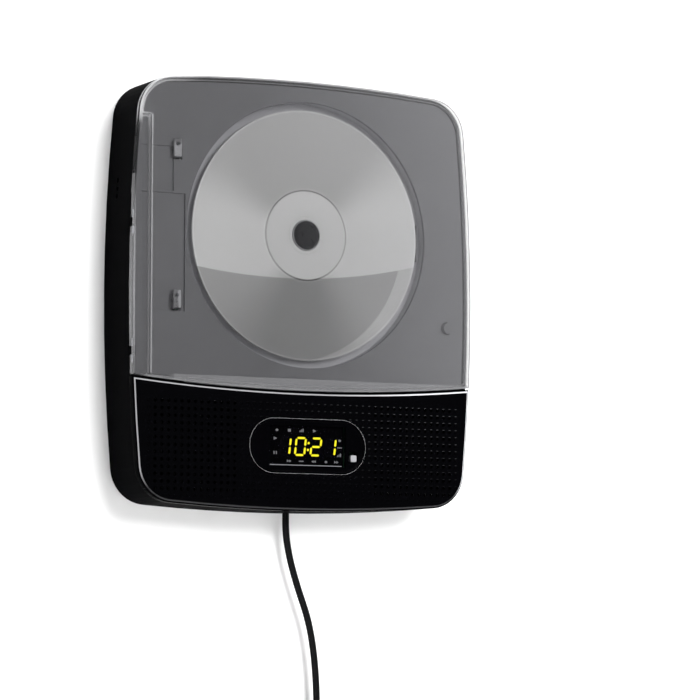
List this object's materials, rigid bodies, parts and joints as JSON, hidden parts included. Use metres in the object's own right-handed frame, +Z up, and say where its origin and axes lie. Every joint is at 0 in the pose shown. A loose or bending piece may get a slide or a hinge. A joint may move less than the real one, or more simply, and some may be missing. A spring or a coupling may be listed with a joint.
{
  "type": "wall-mounted disc player",
  "caption": "Wall-mounted compact disc player with a side-hinged smoked lid, a perforated grille with a display window, a disc mechanism and a lead with adapter.",
  "frame": {"origin": "centre of the back face, on the plane of the wall", "axes": "+X to the viewer's right, +Y from the front into the wall, +Z up"},
  "size_m": [0.181, 0.0326, 0.4391],
  "materials": {
    "housing_black": "fine moulded texture",
    "deck_grey": "fine moulded texture",
    "grille_black": "glossy",
    "window_black": "polished",
    "lid_smoked": "frosted, smoked and see-through",
    "lcd_dark": "polished",
    "white_lens": "milky",
    "board_green": "solder-mask satin",
    "ribbon_grey": "satin",
    "steel": "plain",
    "dark_plastic": "moulded",
    "disc_silver": "silvered, mirror-like",
    "chassis_metal": "satin",
    "lens_blue": "coated",
    "gear_nylon": "moulded",
    "brass": "plain",
    "rubber_black": "matt",
    "basket_steel": "pressed",
    "cone_paper": "fibrous",
    "magnet_ferrite": "ground",
    "capacitor_blue": "sleeved",
    "heat_sink_alu": "extruded",
    "button_black": "moulded",
    "cord_black": "satin",
    "adapter_black": "moulded",
    "pin_metal": "bright"
  },
  "bodies": {
    "cabinet": {"main_housing": "housing_black", "disc_deck": "deck_grey", "rear_cover": "housing_black", "rear_cover_screws": "steel", "speaker_grille": "grille_black", "display_window": "window_black", "lcd_module": "lcd_dark", "indicator_lens": "white_lens", "display_board": "board_green", "display_ribbon": "ribbon_grey", "hinge_pins": "steel", "latch_body": "dark_plastic", "lid_sensor": "dark_plastic", "spindle_motor": "steel", "mechanism_chassis": "chassis_metal", "guide_rods": "steel", "sled_motor": "steel", "damper_grommets": "rubber_black", "mechanism_screws": "steel", "speaker_basket_left": "basket_steel", "speaker_basket_right": "basket_steel", "speaker_cone_left": "cone_paper", "speaker_cone_right": "cone_paper", "speaker_magnet_left": "magnet_ferrite", "speaker_magnet_right": "magnet_ferrite", "main_board": "board_green", "board_screws": "steel", "board_capacitors": "capacitor_blue", "heat_sink": "heat_sink_alu", "side_board": "board_green", "usb_socket": "steel", "aux_socket": "dark_plastic", "button_board": "board_green", "tact_switches": "steel", "cord_clamp": "rubber_black", "power_cord": "cord_black", "cord_coil": "cord_black", "cord_tail": "cord_black", "cord_tie": "rubber_black", "plug_adapter": "adapter_black", "plug_pins": "pin_metal"},
    "lid": {"lid": "lid_smoked", "stop_arms": "dark_plastic", "stop_arm_screws": "steel"},
    "rotor": {"disc": "disc_silver", "turntable": "dark_plastic", "spindle_shaft": "steel", "chuck_balls": "steel"},
    "sled": {"pickup_sled": "dark_plastic", "objective_lens": "lens_blue", "sled_rack": "gear_nylon"},
    "drive_gear": {"sled_gear": "gear_nylon"},
    "drive_pinion": {"motor_pinion": "brass"},
    "latch": {"latch_plunger": "dark_plastic"},
    "key_1": {"button_1": "button_black"},
    "key_2": {"button_2": "button_black"},
    "key_3": {"button_3": "button_black"},
    "key_4": {"button_4": "button_black"},
    "key_5": {"button_5": "button_black"},
    "key_6": {"button_6": "button_black"}
  },
  "joints": [
    {"name": "lid_swing", "type": "hinge", "parent": "cabinet", "child": "lid", "pos_m": [-0.0891, -0.0295, 0], "axis": [0, 0, -1], "range_deg": [0, 57]},
    {"name": "disc_spin", "type": "hinge", "parent": "cabinet", "child": "rotor", "pos_m": [0.003, -0.0245, 0.0294], "axis": [0, 1, 0], "continuous": true},
    {"name": "sled_travel", "type": "slide", "parent": "cabinet", "child": "sled", "axis": [1, 0, 0], "range_m": [0, 0.033]},
    {"name": "gear_spin", "type": "hinge", "parent": "cabinet", "child": "drive_gear", "pos_m": [0.0465, -0.01, 0.00248], "axis": [0, 1, 0], "range_deg": [-5, 400]},
    {"name": "pinion_spin", "type": "hinge", "parent": "cabinet", "child": "drive_pinion", "pos_m": [0.05436, -0.0085, -0.01113], "axis": [0, 1, 0], "range_deg": [-1320, 5]},
    {"name": "latch_push", "type": "slide", "parent": "cabinet", "child": "latch", "axis": [0, 1, 0], "range_m": [0, 0.0015], "stiffness_N_per_m": 150},
    {"name": "key_1_push", "type": "slide", "parent": "cabinet", "child": "key_1", "axis": [0, 0, -1], "range_m": [0, 0.0008], "stiffness_N_per_m": 200},
    {"name": "key_2_push", "type": "slide", "parent": "cabinet", "child": "key_2", "axis": [0, 0, -1], "range_m": [0, 0.0008], "stiffness_N_per_m": 200},
    {"name": "key_3_push", "type": "slide", "parent": "cabinet", "child": "key_3", "axis": [0, 0, -1], "range_m": [0, 0.0008], "stiffness_N_per_m": 200},
    {"name": "key_4_push", "type": "slide", "parent": "cabinet", "child": "key_4", "axis": [0, 0, -1], "range_m": [0, 0.0008], "stiffness_N_per_m": 200},
    {"name": "key_5_push", "type": "slide", "parent": "cabinet", "child": "key_5", "axis": [0, 0, -1], "range_m": [0, 0.0008], "stiffness_N_per_m": 200},
    {"name": "key_6_push", "type": "slide", "parent": "cabinet", "child": "key_6", "axis": [0, 0, -1], "range_m": [0, 0.0008], "stiffness_N_per_m": 200}
  ],
  "couplings": [
    {"joint": "gear_spin", "follows": "sled_travel", "rad_per_m": 208.33},
    {"joint": "pinion_spin", "follows": "sled_travel", "rad_per_m": -694.44}
  ]
}
